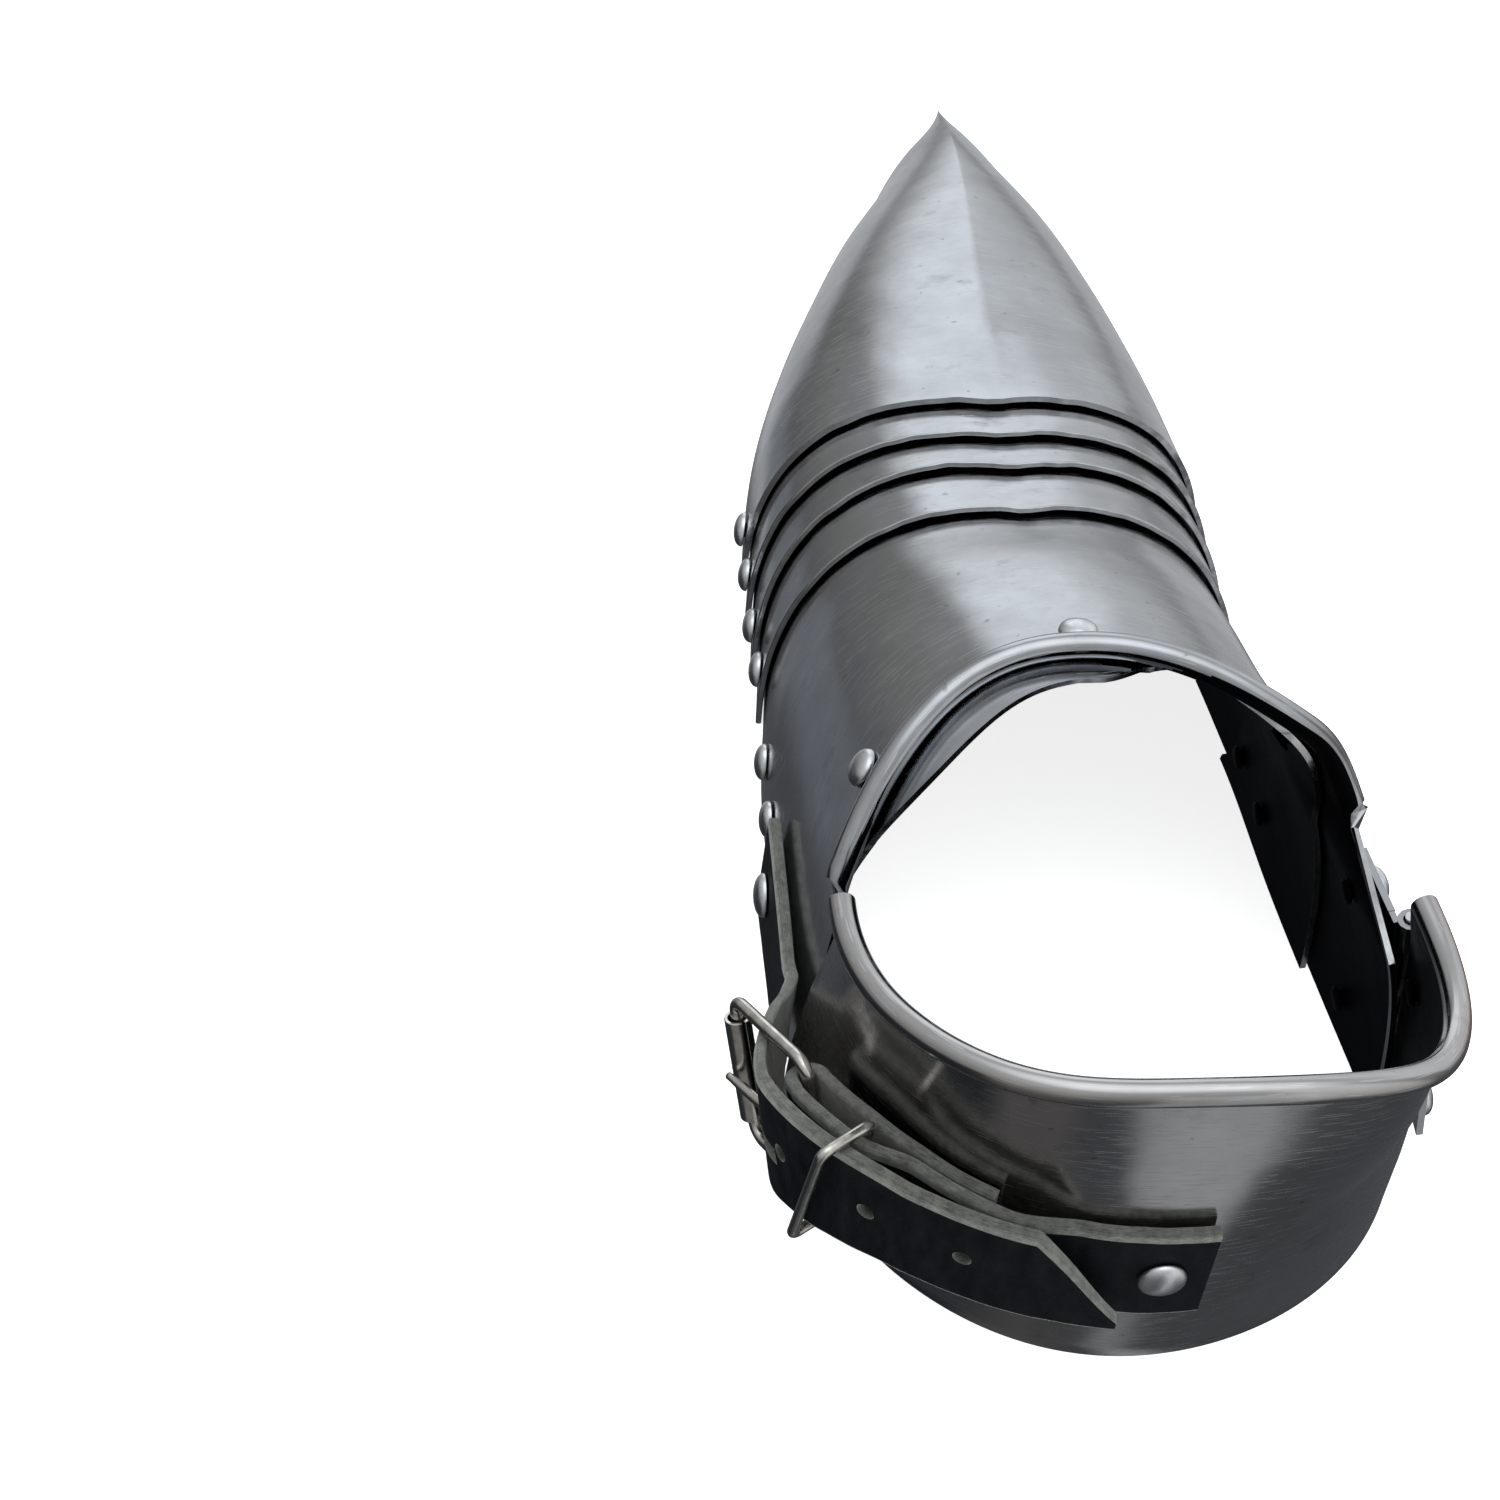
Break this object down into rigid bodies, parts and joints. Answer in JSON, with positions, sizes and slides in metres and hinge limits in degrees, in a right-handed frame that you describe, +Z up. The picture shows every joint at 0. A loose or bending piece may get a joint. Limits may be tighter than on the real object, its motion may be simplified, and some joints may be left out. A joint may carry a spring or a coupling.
{
  "type": "sabaton",
  "caption": "Plate armour shoe with a pointed toe cap, sliding lames, a rolled ankle rim, a hinged heel plate and a buckled leather strap.",
  "frame": {"origin": "middle of the footprint, on the surface that the lower edges stand on", "axes": "+Y to the toe point, +Z up, -X to the strap and buckle, +X to the hinge"},
  "size_m": [0.1308, 0.3464, 0.086],
  "materials": {
    "polished_steel": "polished, slightly brushed, painted black inside",
    "rivet_steel": "polished",
    "black_leather": "black, smooth, with raw grey edges",
    "nickel_wire": "nickel plated"
  },
  "bodies": {
    "instep": {"instep_plate": "polished_steel", "ankle_plate": "polished_steel", "heel_plate": "polished_steel", "strap": "black_leather", "chape": "black_leather", "buckle_frame": "nickel_wire", "buckle_roller": "nickel_wire", "buckle_tongue": "nickel_wire", "keeper": "nickel_wire", "hinge_leaf_front": "polished_steel", "hinge_leaf_rear": "polished_steel", "hinge_pin": "rivet_steel", "side_rivet_1_strap": "rivet_steel", "side_rivet_1_hinge": "rivet_steel", "side_rivet_2_strap": "rivet_steel", "side_rivet_2_hinge": "rivet_steel", "rim_rivet_crest": "rivet_steel", "rim_rivet_strap": "rivet_steel", "rim_rivet_hinge": "rivet_steel", "strap_rivet": "rivet_steel", "chape_rivet": "rivet_steel", "hinge_rivet_front_upper": "rivet_steel", "hinge_rivet_front_lower": "rivet_steel", "hinge_rivet_rear_upper": "rivet_steel", "hinge_rivet_rear_lower": "rivet_steel"},
    "lame_3": {"lame_3": "polished_steel", "pivot_rivet_lame_3_strap": "rivet_steel", "pivot_rivet_lame_3_hinge": "rivet_steel"},
    "lame_2": {"lame_2": "polished_steel", "pivot_rivet_lame_2_strap": "rivet_steel", "pivot_rivet_lame_2_hinge": "rivet_steel"},
    "lame_1": {"lame_1": "polished_steel", "pivot_rivet_lame_1_strap": "rivet_steel", "pivot_rivet_lame_1_hinge": "rivet_steel"},
    "toe_cap": {"toe_cap": "polished_steel", "pivot_rivet_toe_cap_strap": "rivet_steel", "pivot_rivet_toe_cap_hinge": "rivet_steel"}
  },
  "joints": [
    {"name": "lame_3_flex", "type": "hinge", "parent": "instep", "child": "lame_3", "pos_m": [0, -0.00578, 0.011], "axis": [1, 0, 0], "range_deg": [-5, 1.5]},
    {"name": "lame_2_flex", "type": "hinge", "parent": "lame_3", "child": "lame_2", "pos_m": [0, 0.00622, 0.011], "axis": [1, 0, 0], "range_deg": [-5, 1.5]},
    {"name": "lame_1_flex", "type": "hinge", "parent": "lame_2", "child": "lame_1", "pos_m": [0, 0.02072, 0.011], "axis": [1, 0, 0], "range_deg": [-5, 1.5]},
    {"name": "toe_cap_flex", "type": "hinge", "parent": "lame_1", "child": "toe_cap", "pos_m": [0, 0.03422, 0.011], "axis": [1, 0, 0], "range_deg": [-5, 1.5]}
  ]
}
